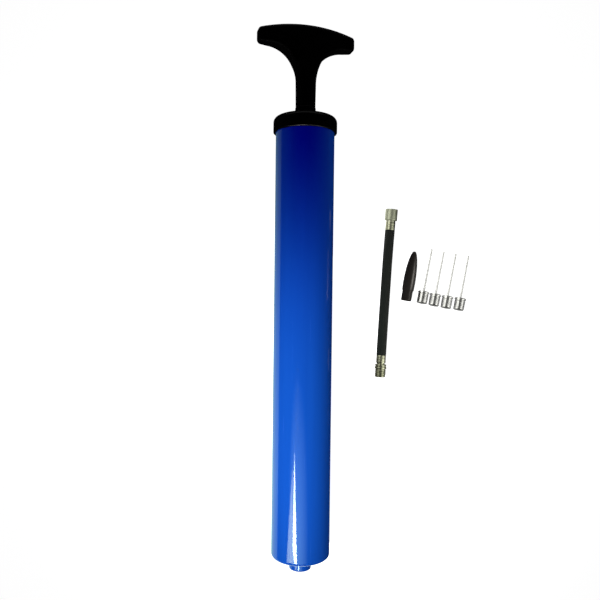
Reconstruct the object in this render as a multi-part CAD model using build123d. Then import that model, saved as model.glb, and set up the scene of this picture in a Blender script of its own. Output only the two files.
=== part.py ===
from build123d import *
import math
import os

# Hand-operated ball inflation pump lying on its side, with the kit that goes with it laid out beside
# it: a short braided hose, a tapered nozzle and four ball needles.
#
# Frame: millimetres, +Z up, everything lies on Z = 0. The pump's axis runs along +Y, from its outlet to
# its handle, and the kit is on its +X side. The origin is under the middle of the pump, the nozzle and
# the needles taken together. Each piece is drawn upright first, on its own axis, with its heights
# measured along +Z from the closed end of the barrel or from its own threaded end. It is laid down last.

# ---------------------------------------------------------------- common sizes
THREAD_R = 3.85          # inflation thread, 7.7 mm across, in the outlet and in the hose's nut
MALE_R = THREAD_R - 0.05
RUNNING = 0.06           # radial clearance of what turns or slides
LOOSE = 0.1              # clearance of what is only put together

# ---------------------------------------------------------------- barrel and outlet
BARREL_R = 20.0
BARREL_WALL = 1.8
BARREL_TOP = 292.9
BARREL_FLOOR = 3.0       # thickness of the closed end
BOTTOM_EDGE_R = 2.6
BEAD_HEIGHT = 290.5      # bead that the cap snaps over
BEAD_R = 0.35
BORE_R = BARREL_R - BARREL_WALL

OUTLET_R = 7.6
OUTLET_LENGTH = 8.6
OUTLET_EDGE_R = 1.2
OUTLET_FOOT_R = 1.2
THREAD_DEPTH = 7.6
GASKET_POCKET_R = 3.3
GASKET_THICK = 1.3
PASSAGE_R = 1.5

# ---------------------------------------------------------------- check valve in the closed end
VALVE_FLOOR = 2.2
VALVE_CHAMBER_R = 2.4
VALVE_BOSS_R = 7.5
VALVE_BOSS_TOP = 9.5
SEAT_R = 3.6
SEAT_BOTTOM = 7.0
SEAT_BORE_R = 1.3
SEAT_CONE = 1.0          # depth and width of the 45 degree cone that the ball closes
BALL_R = 2.0
BALL_GAP = 0.02          # between the ball and the cone
SPRING_WIRE_R = 0.15
SPRING_R = 1.4
SPRING_TURNS = 3.5
SPRING_LENGTH = 2.4

# ---------------------------------------------------------------- cap
CAP_R = 21.7
CAP_BOTTOM = 287.9
CAP_TOP = 298.2
CAP_EDGE_R = 3.6
CAP_LIP_BEVEL = 0.4
CAP_CROWN = 0.9          # rise of the top towards its middle
CAP_CEILING = 294.8
CAP_SPIGOT = (16.3, 18.1)       # inner and outer radius of the collar inside the barrel
CAP_SPIGOT_BOTTOM = 287.9
BOSS_R = 7.0
BOSS_TOP = 305.2
BOSS_BEVEL = 0.3
BUSH_R = 6.2
BUSH_FLANGE_R = 9.0
BUSH_FLANGE_THICK = 1.5

# ---------------------------------------------------------------- piston, from its screw to its buffer
SCREW_HEAD_BOTTOM = 11.9
PISTON_SCREW = (3.4, 2.5, 1.4, 9.5)     # head radius, head height, shank radius, shank length
WASHER_R = 6.0
WASHER_THICK = 0.6
RETAINER_R = 15.4
RETAINER_THICK = 1.8
CUP_THICK = 1.8
CUP_LIP = 1.3            # thickness of the lip at its root
CUP_LIP_TIP = 0.8
CUP_LIP_DROP = 3.6       # how far the lip hangs below the cup
PISTON_THICK = 8.4
PISTON_WEB = 2.4
PISTON_RIBS = 6
PISTON_HUB_R = 7.4
PISTON_SKIRT = 2.0
SPIGOT_R = 3.0           # end of the rod, which the piston swivels on
ROD_FLANGE_R = 8.0
ROD_FLANGE_THICK = 2.0
BUFFER_R = 9.0
BUFFER_THICK = 4.0

WASHER_BOTTOM = SCREW_HEAD_BOTTOM + PISTON_SCREW[1]
SPIGOT_BOTTOM = WASHER_BOTTOM + WASHER_THICK
RETAINER_BOTTOM = SPIGOT_BOTTOM + LOOSE
CUP_BOTTOM = RETAINER_BOTTOM + RETAINER_THICK
PISTON_BOTTOM = CUP_BOTTOM + CUP_THICK
PISTON_TOP = PISTON_BOTTOM + PISTON_THICK
ROD_BOTTOM = PISTON_TOP + LOOSE
CUP_R = BORE_R - RUNNING
PISTON_R = BORE_R - 0.5

# ---------------------------------------------------------------- rod and T-handle
ROD_R = 5.5
ROD_WEB = 2.2
ROD_DISC_THICK = 1.6
ROD_DISCS = 6
ROD_COLLAR = 9.0         # round stretch at each end of the cross-shaped rod
TENON_R = 4.4            # top of the rod, inside the handle
TENON_LENGTH = 18.0

HANDLE_BOTTOM = 305.4
HANDLE_TOP = 359.8
HANDLE_HALF_WIDTH = 33.8
HANDLE_THICK = (14.2, 8.0)       # in the middle and at the arms' ends
HANDLE_EDGE_R = 2.6
HANDLE_TURN = 15.4       # degrees that the handle stands turned about the pump's axis
NECK_R = (6.75, 7.0)     # at its foot and where it starts to widen
NECK_TOP = 322.1
NECK_FLARE_R = 25.0
FLARE_TURN = math.radians(66)
ARM_ROOT = (7.15, 326.3)        # half width and height where the underside sweeps out
ARM_SWEEP_R = 19.4
ARM_END = (346.2, 355.6)        # lower and upper corner of each arm's end
ARM_CORNER_R = 2.8
HANDLE_SCREW = (3.6, 2.6, 1.9, 32.0)    # head radius, head height, shank radius, shank length
HANDLE_SCREW_TOP = 346.9
PLUG_R = 4.1
PLUG_THICK = 3.0
PLUG_RECESS = 0.35

# ---------------------------------------------------------------- hose, heights from its threaded end
HOSE_R = 3.5
HOSE_BORE_R = 1.6
CRIMPED_R = 2.95         # the hose squeezed inside its ferrules
FERRULE_R = 3.4
FERRULE_LENGTH = 5.6
FERRULE_CRIMPS = 2
CRIMP_DEPTH = 0.12
MALE_LENGTH = 5.9
FLANGE_R = 4.12
FLANGE_THICK = 3.3
FLANGE_BEVEL = 0.8
FITTING_NECK_R = 2.7
FITTING_FACE = 10.0      # where the hose meets the male fitting
BARB_LENGTH = 8.0
AIRWAY_R = 1.0
# The tail piece and its nut, heights from where the hose meets the tail piece.
TAIL_COLLAR = (3.3, 1.2)        # radius and length of the collar under the nut
NUT_BOTTOM = 1.3
NUT_FLOOR = 1.2
NUT_LENGTH = 7.8
NUT_R = 4.3
NUT_LIP = (4.38, 1.1)    # radius and height of the rolled lip at the nut's closed end
NUT_BEVEL = 0.55
TAIL_NECK_R = 2.6
TAIL_HEAD_R = 3.5
TAIL_HEAD_THICK = 1.0
NUT_GASKET_THICK = 0.8
# The middle line of the hose's free stretch, from the lower ferrule to the upper one.
HOSE_ROUTE = [
    (13.26, -39.39, 4.03),
    (13.98, -24.39, 3.84),
    (15.6, 3.61, 3.45),
    (17.16, 32.61, 3.8),
    (18.36, 49.25, 4.22),
]

# ---------------------------------------------------------------- nozzle and needles, from the thread
NOZZLE_STUB = 7.4
NOZZLE_SHOULDER_R = 4.1
NOZZLE_R = 4.25          # widest, where the long nose begins
NOZZLE_NOSE_FROM = 12.4
NOZZLE_NOSE_LENGTH = 23.5       # half length of the ellipse that the nose follows
NOZZLE_TIP_R = 0.88
NOZZLE_BORE_R = 0.6
NOZZLE_INLET = (2.0, 9.0)       # radius and depth of the wide bore in the threaded end
NOZZLE_FLAT = 3.6        # half width across the two flats of the moulded thread
NOZZLE_TILT = -1.63      # degrees that its tip hangs, lying on its curved side
NEEDLE_BASE = 8.6
NEEDLE_FLANGE = 1.3
NEEDLE_FLANGE_R = 4.0
NEEDLE_LENGTH = 39.9
NEEDLE_R = 0.7
NEEDLE_BORE_R = 0.4
NEEDLE_HOLE_R = 0.3
NEEDLE_HOLE_FROM_TIP = 3.2
NEEDLE_SEAT = 3.0        # depth of the tube in its base

# ---------------------------------------------------------------- where each thing lies
# Its threaded or closed end on the ground plan, and its heading in degrees clockwise from +Y.
PUMP_LIES = (-42.67, -175.59, 0.0)
NOZZLE_LIES = (30.23, -0.59, 9.6)
NEEDLES_LIE = [
    (41.28, -2.33, 11.3),
    (49.62, -3.98, 11.7),
    (58.27, -5.51, 11.6),
    (67.32, -6.76, 11.6),
]

UP_FROM = (Align.CENTER, Align.CENTER, Align.MIN)


# ================================================================ shape helpers
def ring(outer, inner, low, high):
    """A sleeve between two heights, or a solid disc where inner is 0."""
    solid = Pos(0, 0, low) * Cylinder(outer, high - low, align=UP_FROM)
    if inner:
        solid -= Pos(0, 0, low) * Cylinder(inner, high - low, align=UP_FROM)
    return solid


def lathe(*corners):
    """A solid of revolution about Z from the (radius, height) corners of its section."""
    return revolve(Plane.XZ * make_face(Polyline(*corners, close=True)), Axis.Z)


def rim(part, radius, height):
    """The circular edges of a part that have this radius and lie flat at this height."""
    found = []
    for edge in part.edges().filter_by(GeomType.CIRCLE):
        flat = edge.bounding_box().size.Z < 1e-3
        if flat and abs(edge.arc_center.Z - height) < 1e-3 and abs(edge.radius - radius) < 1e-3:
            found.append(edge)
    return found


def bar(width, depth, low, high):
    return Pos(0, 0, low) * Box(width, depth, high - low, align=UP_FROM)


def pan_screw(head_r, head_height, shank_r, shank_length):
    """A cross-head screw: the head hangs below Z = 0 and the shank points up."""
    screw = ring(head_r, 0, -head_height, 0)
    screw = fillet(rim(screw, head_r, -head_height), head_height * 0.6)
    screw += ring(shank_r, 0, 0, shank_length)
    screw = chamfer(rim(screw, shank_r, shank_length), shank_r * 0.4)
    slot = head_r * 0.28
    for size in ((head_r * 1.1, slot), (slot, head_r * 1.1)):
        screw -= bar(*size, -head_height, -head_height * 0.45)
    return screw


def lying(place, touch_low, touch_high):
    """Where an upright piece goes when two (radius, height) points of its side touch the ground."""
    x, y, heading = place
    tilt = math.atan2(touch_high[0] - touch_low[0], touch_high[1] - touch_low[1])
    rise = touch_low[0] * math.cos(tilt) - touch_low[1] * math.sin(tilt)
    return Pos(x, y, rise) * Rot(0, 0, -heading) * Rot(math.degrees(tilt) - 90, 0, 0)


def along(start, direction):
    """A location at start whose own +Z points in a direction and whose own X stays level."""
    level = Vector(direction.Y, -direction.X, 0)
    return Plane(origin=start, x_dir=level, z_dir=direction).location


# ================================================================ barrel, outlet and check valve
def barrel():
    """One moulding: the tube, its closed end, the outlet outside it and the valve boss inside it."""
    tube = ring(BARREL_R, 0, 0, BARREL_TOP)
    tube = fillet(rim(tube, BARREL_R, 0), BOTTOM_EDGE_R)
    tube += ring(BARREL_R + BEAD_R, 0, BEAD_HEIGHT - BEAD_R, BEAD_HEIGHT + BEAD_R)
    tube = fillet(rim(tube, BARREL_R + BEAD_R, BEAD_HEIGHT - BEAD_R), BEAD_R * 0.9)
    tube -= ring(BORE_R, 0, BARREL_FLOOR, BARREL_TOP)
    outlet = ring(OUTLET_R, 0, -OUTLET_LENGTH, 0)
    outlet = fillet(rim(outlet, OUTLET_R, -OUTLET_LENGTH), OUTLET_EDGE_R)
    body = tube + outlet + ring(VALVE_BOSS_R, 0, BARREL_FLOOR, VALVE_BOSS_TOP)
    body = fillet(rim(body, OUTLET_R, 0), OUTLET_FOOT_R)
    thread_end = THREAD_DEPTH - OUTLET_LENGTH
    pocket_end = thread_end + GASKET_THICK
    body -= ring(THREAD_R, 0, -OUTLET_LENGTH, thread_end)
    body -= ring(GASKET_POCKET_R, 0, thread_end, pocket_end)
    body -= ring(PASSAGE_R, 0, pocket_end, VALVE_FLOOR)
    body -= ring(VALVE_CHAMBER_R, 0, VALVE_FLOOR, SEAT_BOTTOM)
    return body - ring(SEAT_R, 0, SEAT_BOTTOM, VALVE_BOSS_TOP)


def outlet_gasket():
    low = THREAD_DEPTH - OUTLET_LENGTH
    return ring(GASKET_POCKET_R, PASSAGE_R, low, low + GASKET_THICK)


def valve_seat():
    return lathe(
        (SEAT_BORE_R, VALVE_BOSS_TOP),
        (SEAT_BORE_R, SEAT_BOTTOM + SEAT_CONE),
        (SEAT_BORE_R + SEAT_CONE, SEAT_BOTTOM),
        (SEAT_R, SEAT_BOTTOM),
        (SEAT_R, VALVE_BOSS_TOP),
    )


def ball_height():
    """Height of the ball's middle when it closes the cone."""
    touch_r = BALL_R / math.sqrt(2)
    touch_height = SEAT_BOTTOM + SEAT_CONE - (touch_r - SEAT_BORE_R)
    return touch_height - touch_r - BALL_GAP * math.sqrt(2)


def valve_ball():
    return Pos(0, 0, ball_height()) * Sphere(BALL_R)


def valve_spring():
    coil = Helix(SPRING_LENGTH / SPRING_TURNS, SPRING_LENGTH, SPRING_R)
    wire = sweep(Plane(origin=coil @ 0, z_dir=coil % 0) * Circle(SPRING_WIRE_R), path=coil, is_frenet=True)
    return Pos(0, 0, VALVE_FLOOR + SPRING_WIRE_R + 0.02) * wire


# ================================================================ cap and bush
def top_cap():
    skirt_bore = BARREL_R + LOOSE
    seat = BARREL_TOP + LOOSE
    cap = lathe(
        (CAP_R, CAP_BOTTOM),
        (CAP_R, CAP_TOP),
        (BOSS_R, CAP_TOP + CAP_CROWN),
        (BOSS_R, BOSS_TOP),
        (BUSH_R, BOSS_TOP),
        (BUSH_R, CAP_CEILING),
        (CAP_SPIGOT[0], CAP_CEILING),
        (CAP_SPIGOT[0], CAP_SPIGOT_BOTTOM),
        (CAP_SPIGOT[1], CAP_SPIGOT_BOTTOM),
        (CAP_SPIGOT[1], seat),
        (skirt_bore, seat),
        (skirt_bore, CAP_BOTTOM),
    )
    cap = fillet(rim(cap, CAP_R, CAP_TOP), CAP_EDGE_R)
    cap = fillet(rim(cap, BOSS_R, CAP_TOP + CAP_CROWN), 1.2)
    cap = chamfer(rim(cap, BOSS_R, BOSS_TOP), BOSS_BEVEL)
    cap = chamfer(rim(cap, CAP_R, CAP_BOTTOM), CAP_LIP_BEVEL)
    groove = BEAD_R + LOOSE
    return cap - ring(BARREL_R + groove, BARREL_R, BEAD_HEIGHT - groove, BEAD_HEIGHT + groove)


def rod_bush():
    bush = ring(BUSH_R, 0, CAP_CEILING, BOSS_TOP - 0.4)
    bush += ring(BUSH_FLANGE_R, 0, CAP_CEILING - BUSH_FLANGE_THICK, CAP_CEILING)
    return bush - ring(ROD_R + RUNNING, 0, CAP_CEILING - BUSH_FLANGE_THICK, BOSS_TOP)


# ================================================================ piston
def piston_body():
    """A guide skirt round a hub, joined by a web at the bottom and by radial ribs."""
    pocket = (PISTON_R - PISTON_SKIRT, PISTON_HUB_R)
    piston = ring(PISTON_R, 0, PISTON_BOTTOM, PISTON_TOP)
    piston -= ring(*pocket, PISTON_BOTTOM + PISTON_WEB, PISTON_TOP)
    rib_length = pocket[0] - pocket[1] + 0.6
    rib = Pos((pocket[0] + pocket[1]) / 2, 0, 0) * bar(rib_length, 1.5, PISTON_BOTTOM, PISTON_TOP - 1)
    for index in range(PISTON_RIBS):
        piston += Rot(0, 0, 360 / PISTON_RIBS * index) * rib
    return piston - ring(SPIGOT_R + RUNNING, 0, PISTON_BOTTOM, PISTON_TOP)


def cup_seal():
    bore = SPIGOT_R + RUNNING
    lip_end = CUP_BOTTOM - CUP_LIP_DROP
    return lathe(
        (bore, CUP_BOTTOM),
        (CUP_R - 0.3 - CUP_LIP, CUP_BOTTOM),
        (CUP_R - CUP_LIP_TIP, lip_end),
        (CUP_R, lip_end),
        (CUP_R, lip_end + 1.2),
        (CUP_R - 0.3, CUP_BOTTOM + CUP_THICK),
        (bore, CUP_BOTTOM + CUP_THICK),
    )


def seal_retainer():
    disc = ring(RETAINER_R, SPIGOT_R + RUNNING, RETAINER_BOTTOM, CUP_BOTTOM)
    return chamfer(rim(disc, RETAINER_R, RETAINER_BOTTOM), 0.6)


def piston_screw():
    return Pos(0, 0, WASHER_BOTTOM) * pan_screw(*PISTON_SCREW)


def screw_washer():
    return ring(WASHER_R, PISTON_SCREW[2], WASHER_BOTTOM, SPIGOT_BOTTOM)


def stop_buffer():
    low = ROD_BOTTOM + ROD_FLANGE_THICK
    buffer = ring(BUFFER_R, ROD_R, low, low + BUFFER_THICK)
    return fillet(rim(buffer, BUFFER_R, low + BUFFER_THICK), 1.0)


# ================================================================ rod and handle
def plunger_rod():
    """Cross-shaped rod with stiffening discs, a spigot for the piston and a tenon for the handle."""
    envelope = ring(ROD_R, 0, ROD_BOTTOM, HANDLE_BOTTOM)
    webs = bar(2 * ROD_R, ROD_WEB, ROD_BOTTOM, HANDLE_BOTTOM)
    webs += bar(ROD_WEB, 2 * ROD_R, ROD_BOTTOM, HANDLE_BOTTOM)
    rod = webs & envelope
    rod += ring(ROD_R, 0, ROD_BOTTOM, ROD_BOTTOM + ROD_COLLAR)
    rod += ring(ROD_R, 0, HANDLE_BOTTOM - ROD_COLLAR, HANDLE_BOTTOM)
    spacing = (HANDLE_BOTTOM - ROD_BOTTOM) / (ROD_DISCS + 1)
    for index in range(ROD_DISCS):
        height = ROD_BOTTOM + spacing * (index + 1)
        rod += ring(ROD_R, 0, height - ROD_DISC_THICK / 2, height + ROD_DISC_THICK / 2)
    rod += ring(ROD_FLANGE_R, 0, ROD_BOTTOM, ROD_BOTTOM + ROD_FLANGE_THICK)
    rod += ring(SPIGOT_R, 0, SPIGOT_BOTTOM, ROD_BOTTOM)
    rod += ring(TENON_R, 0, HANDLE_BOTTOM, HANDLE_BOTTOM + TENON_LENGTH)
    rod -= ring(PISTON_SCREW[2], 0, SPIGOT_BOTTOM, WASHER_BOTTOM + PISTON_SCREW[3])
    screw_end = HANDLE_SCREW_TOP - HANDLE_SCREW[1] - HANDLE_SCREW[3]
    rod -= ring(HANDLE_SCREW[2], 0, screw_end, HANDLE_BOTTOM + TENON_LENGTH)
    return Rot(0, 0, HANDLE_TURN) * rod


def handle_outline():
    """Front view of the T: neck, swept underside, arm ends and arched top."""
    neck, root = ARM_ROOT
    low, high = ARM_END
    reach = HANDLE_HALF_WIDTH
    sweep_top = root + ARM_SWEEP_R
    crown = ThreePointArc((-reach, high), (0, HANDLE_TOP), (reach, high))
    sides = []
    for side in (-1, 1):
        turn = (side * (neck + ARM_SWEEP_R * (1 - math.sqrt(0.5))), root + ARM_SWEEP_R * math.sqrt(0.5))
        swept = ThreePointArc((side * neck, root), turn, (side * (neck + ARM_SWEEP_R), sweep_top))
        under = Line((side * (neck + ARM_SWEEP_R), sweep_top), (side * reach, low))
        end = Line((side * reach, low), (side * reach, high))
        neck_side = Line((side * neck, HANDLE_BOTTOM), (side * neck, root))
        sides += [neck_side, swept, under, end]
    foot = Line((-neck, HANDLE_BOTTOM), (neck, HANDLE_BOTTOM))
    return make_face([*sides, crown, foot])


def handle_taper():
    """Upright lens, a little larger than the handle, that thins the arms towards their ends."""
    middle, end = [thick / 2 for thick in HANDLE_THICK]
    reach = HANDLE_HALF_WIDTH + 1
    front = ThreePointArc((-reach, -end), (0, -middle), (reach, -end))
    back = ThreePointArc((-reach, end), (0, middle), (reach, end))
    ends = [Line((side * reach, -end), (side * reach, end)) for side in (-1, 1)]
    lens = make_face([front, back, *ends])
    return Pos(0, 0, HANDLE_BOTTOM - 1) * extrude(lens, HANDLE_TOP - HANDLE_BOTTOM + 2)


def neck_envelope():
    """Round outside of the neck, which flares until it is wider than the arms."""
    foot_r, top_r = NECK_R
    flare_points = []
    for turn in (0, FLARE_TURN / 2, FLARE_TURN):
        out = top_r + NECK_FLARE_R * (1 - math.cos(turn))
        flare_points.append((out, NECK_TOP + NECK_FLARE_R * math.sin(turn)))
    flare = ThreePointArc(*flare_points)
    above = Polyline(
        flare_points[2],
        (HANDLE_HALF_WIDTH + 5, flare_points[2][1]),
        (HANDLE_HALF_WIDTH + 5, HANDLE_TOP + 5),
        (0, HANDLE_TOP + 5),
        (0, HANDLE_BOTTOM),
        (foot_r, HANDLE_BOTTOM),
        (top_r, NECK_TOP),
    )
    return revolve(Plane.XZ * make_face([flare, *above.edges()]), Axis.Z)


def t_handle():
    plate = extrude(Plane.XZ * handle_outline(), HANDLE_THICK[0], both=True)
    upright = plate.edges().filter_by(Axis.Y)
    arm_corners = [edge for edge in upright if abs(abs(edge.center().X) - HANDLE_HALF_WIDTH) < 1e-3]
    plate = fillet(arm_corners, ARM_CORNER_R) & handle_taper()
    rounded = []
    by_depth = plate.faces().sort_by(Axis.Y)
    for face in (by_depth[0], by_depth[-1]):
        rounded += [edge for edge in face.outer_wire().edges() if edge.center().Z > HANDLE_BOTTOM + 1e-3]
    handle = fillet(rounded, HANDLE_EDGE_R) & neck_envelope()
    screw_seat = HANDLE_SCREW_TOP - HANDLE_SCREW[1]
    handle -= ring(TENON_R + 0.05, 0, HANDLE_BOTTOM, HANDLE_BOTTOM + TENON_LENGTH + LOOSE)
    handle -= ring(HANDLE_SCREW[2] + 0.2, 0, HANDLE_BOTTOM, screw_seat)
    handle -= ring(HANDLE_SCREW[0] + LOOSE, 0, screw_seat, HANDLE_TOP)
    handle -= ring(PLUG_R, 0, HANDLE_TOP - PLUG_RECESS - PLUG_THICK, HANDLE_TOP + 1)
    return Rot(0, 0, HANDLE_TURN) * handle


def handle_screw():
    return Pos(0, 0, HANDLE_SCREW_TOP - HANDLE_SCREW[1]) * Rot(180, 0, 0) * pan_screw(*HANDLE_SCREW)


def handle_screw_cover():
    top = HANDLE_TOP - PLUG_RECESS
    plug = ring(PLUG_R, 0, top - PLUG_THICK, top)
    return fillet(rim(plug, PLUG_R, top), 0.5)


# ================================================================ hose
def hose_path():
    """Straight runs joined by tangent arcs, each as large as its two runs allow."""
    points = [Vector(*point) for point in HOSE_ROUTE]
    radii = []
    for before, corner, after in zip(points, points[1:], points[2:]):
        turn = (corner - before).get_angle(after - corner)
        shorter = min((corner - before).length, (after - corner).length)
        radii.append(0.45 * shorter / math.tan(math.radians(turn / 2)))
    print("hose radii:", [round(radius) for radius in radii])
    return FilletPolyline(*points, radius=radii)


def hose_start():
    first, second = [Vector(*point) for point in HOSE_ROUTE[:2]]
    return along(first, second - first)


def hose_end():
    before, last = [Vector(*point) for point in HOSE_ROUTE[-2:]]
    return along(last, last - before)


def hose_tube():
    """The free stretch at full size and, at each end, the stretch squeezed inside a ferrule."""
    path = hose_path()
    section = Circle(HOSE_R) - Circle(HOSE_BORE_R)
    tube = sweep(Plane(origin=path @ 0, z_dir=path % 0) * section, path=path)
    expected = section.area * path.length
    print(f"hose length {path.length:.2f} mm, volume {tube.volume:.1f}, section x length {expected:.1f}")
    tube += hose_start() * ring(CRIMPED_R, HOSE_BORE_R, -FERRULE_LENGTH, 0)
    return tube + hose_end() * ring(CRIMPED_R, HOSE_BORE_R, 0, FERRULE_LENGTH)


def ferrule():
    """A thin sleeve crimped onto the hose by shallow rolled grooves."""
    sleeve = ring(FERRULE_R, CRIMPED_R, 0, FERRULE_LENGTH)
    for index in range(FERRULE_CRIMPS):
        height = FERRULE_LENGTH * (index + 1) / (FERRULE_CRIMPS + 1)
        sleeve -= ring(FERRULE_R + 1, FERRULE_R - CRIMP_DEPTH, height - 0.4, height + 0.4)
    return sleeve


def male_fitting():
    flange_top = MALE_LENGTH + FLANGE_THICK
    fitting = ring(MALE_R, 0, 0, MALE_LENGTH)
    fitting = chamfer(rim(fitting, MALE_R, 0), 0.5)
    flange = ring(FLANGE_R, 0, MALE_LENGTH, flange_top)
    flange = chamfer(rim(flange, FLANGE_R, MALE_LENGTH) + rim(flange, FLANGE_R, flange_top), FLANGE_BEVEL)
    fitting += flange + ring(FITTING_NECK_R, 0, flange_top, FITTING_FACE)
    fitting += ring(HOSE_BORE_R, 0, FITTING_FACE, FITTING_FACE + BARB_LENGTH)
    return fitting - ring(AIRWAY_R, 0, 0, FITTING_FACE + BARB_LENGTH)


def hose_tail():
    """Tail piece, heights from the hose's end: barb below, collar, neck through the nut, and head."""
    collar_r, collar_top = TAIL_COLLAR
    head_low = NUT_BOTTOM + NUT_FLOOR + LOOSE
    head_top = head_low + TAIL_HEAD_THICK
    tail = ring(HOSE_BORE_R, 0, -BARB_LENGTH, 0)
    tail += ring(collar_r, 0, 0, collar_top) + ring(TAIL_NECK_R, 0, collar_top, head_low)
    tail += ring(TAIL_HEAD_R, 0, head_low, head_top)
    return tail - ring(AIRWAY_R, 0, -BARB_LENGTH, head_top)


def nut_gasket():
    low = NUT_BOTTOM + NUT_FLOOR + LOOSE + TAIL_HEAD_THICK
    return ring(TAIL_HEAD_R, AIRWAY_R + 0.4, low, low + NUT_GASKET_THICK)


def swivel_nut():
    top = NUT_BOTTOM + NUT_LENGTH
    thread_low = NUT_BOTTOM + NUT_FLOOR + LOOSE + TAIL_HEAD_THICK + NUT_GASKET_THICK
    lip_r, lip_height = NUT_LIP
    nut = ring(NUT_R, 0, NUT_BOTTOM, top)
    nut = fillet(rim(nut, NUT_R, top), NUT_BEVEL)
    nut += ring(lip_r, 0, NUT_BOTTOM, NUT_BOTTOM + lip_height)
    nut = fillet(rim(nut, lip_r, NUT_BOTTOM), 0.3)
    nut -= ring(TAIL_NECK_R + RUNNING, 0, NUT_BOTTOM, NUT_BOTTOM + NUT_FLOOR)
    nut -= ring(TAIL_HEAD_R + RUNNING, 0, NUT_BOTTOM + NUT_FLOOR, thread_low)
    return nut - ring(THREAD_R, 0, thread_low, top)


# ================================================================ nozzle and needles
def cone_nozzle():
    """Bullet-shaped nozzle: slightly flared body, long elliptical nose, moulded thread with two flats."""
    tip_turn = math.acos(NOZZLE_TIP_R / NOZZLE_R)
    points = []
    for index in range(11):
        turn = tip_turn * index / 10
        points.append((NOZZLE_R * math.cos(turn), NOZZLE_NOSE_FROM + NOZZLE_NOSE_LENGTH * math.sin(turn)))
    leave = (-NOZZLE_R * math.sin(tip_turn), NOZZLE_NOSE_LENGTH * math.cos(tip_turn))
    nose = Spline(*points, tangents=[(0, 1), leave])
    tip = nose @ 1
    rest = Polyline(
        tip,
        (0, tip.Y),
        (0, NOZZLE_STUB),
        (NOZZLE_SHOULDER_R, NOZZLE_STUB),
        nose @ 0,
    )
    body = revolve(Plane.XZ * make_face([nose, *rest.edges()]), Axis.Z)
    body += ring(MALE_R, 0, 0, NOZZLE_STUB) & bar(2 * NOZZLE_FLAT, 2 * NOZZLE_R, 0, NOZZLE_STUB)
    inlet_r, inlet_depth = NOZZLE_INLET
    body -= ring(inlet_r, 0, 0, inlet_depth)
    return body - ring(NOZZLE_BORE_R, 0, inlet_depth, tip.Y)


def nozzle_place():
    """The nozzle lies on its elliptical nose, whose lowest point is at the ellipse's support height."""
    x, y, heading = NOZZLE_LIES
    tilt = math.radians(NOZZLE_TILT)
    support = math.hypot(NOZZLE_NOSE_LENGTH * math.sin(tilt), NOZZLE_R * math.cos(tilt))
    rise = support - NOZZLE_NOSE_FROM * math.sin(tilt)
    return Pos(x, y, rise) * Rot(0, 0, -heading) * Rot(NOZZLE_TILT - 90, 0, 0)


def needle_base():
    base = ring(MALE_R, 0, 0, NEEDLE_BASE)
    base = chamfer(rim(base, MALE_R, 0), 0.5)
    base += ring(NEEDLE_FLANGE_R, 0, NEEDLE_BASE - NEEDLE_FLANGE, NEEDLE_BASE)
    base = fillet(rim(base, NEEDLE_FLANGE_R, NEEDLE_BASE), 0.4)
    base -= ring(AIRWAY_R, 0, 0, NEEDLE_BASE - NEEDLE_SEAT)
    return base - ring(NEEDLE_R, 0, NEEDLE_BASE - NEEDLE_SEAT, NEEDLE_BASE)


def needle_tube():
    """Thin tube with a rounded closed tip and a cross hole just below it."""
    low = NEEDLE_BASE - NEEDLE_SEAT
    tube = ring(NEEDLE_R, 0, low, NEEDLE_LENGTH)
    tube = fillet(rim(tube, NEEDLE_R, NEEDLE_LENGTH), NEEDLE_R * 0.9)
    tube -= ring(NEEDLE_BORE_R, 0, low, NEEDLE_LENGTH - 1.2)
    hole = Rot(0, 90, 0) * Cylinder(NEEDLE_HOLE_R, 2 * NEEDLE_LENGTH)
    return tube - Pos(0, 0, NEEDLE_LENGTH - NEEDLE_HOLE_FROM_TIP) * hole


# ================================================================ laying out
def pump_pieces():
    place = lying(PUMP_LIES, (BARREL_R, BOTTOM_EDGE_R), (CAP_R, CAP_BOTTOM + CAP_LIP_BEVEL))
    makers = [
        barrel, outlet_gasket, valve_seat, valve_spring, valve_ball, top_cap, rod_bush,
        piston_body, cup_seal, seal_retainer, piston_screw, screw_washer, stop_buffer,
        plunger_rod, t_handle, handle_screw, handle_screw_cover,
    ]
    return {maker.__name__: place * maker() for maker in makers}


def hose_pieces():
    lower_face = hose_start() * Pos(0, 0, -FERRULE_LENGTH)
    upper_face = hose_end() * Pos(0, 0, FERRULE_LENGTH)
    return {
        "hose_tube": hose_tube(),
        "male_fitting": lower_face * Pos(0, 0, -FITTING_FACE) * male_fitting(),
        "lower_ferrule": lower_face * ferrule(),
        "upper_ferrule": hose_end() * ferrule(),
        "hose_tail": upper_face * hose_tail(),
        "nut_gasket": upper_face * nut_gasket(),
        "swivel_nut": upper_face * swivel_nut(),
    }


def needle_pieces():
    pieces = {}
    for number, spot in enumerate(NEEDLES_LIE, 1):
        place = lying(spot, (NEEDLE_FLANGE_R, NEEDLE_BASE - 0.3), (NEEDLE_R, NEEDLE_LENGTH))
        pieces[f"needle_{number}_base"] = place * needle_base()
        pieces[f"needle_{number}_tube"] = place * needle_tube()
    return pieces


pieces = {**pump_pieces(), **hose_pieces(), "cone_nozzle": nozzle_place() * cone_nozzle(), **needle_pieces()}

os.makedirs("parts", exist_ok=True)
for name, piece in pieces.items():
    export_step(piece, f"parts/{name}.step")
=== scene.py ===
import math

import bmesh
import bpy
from mathutils import Matrix, Vector


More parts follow.
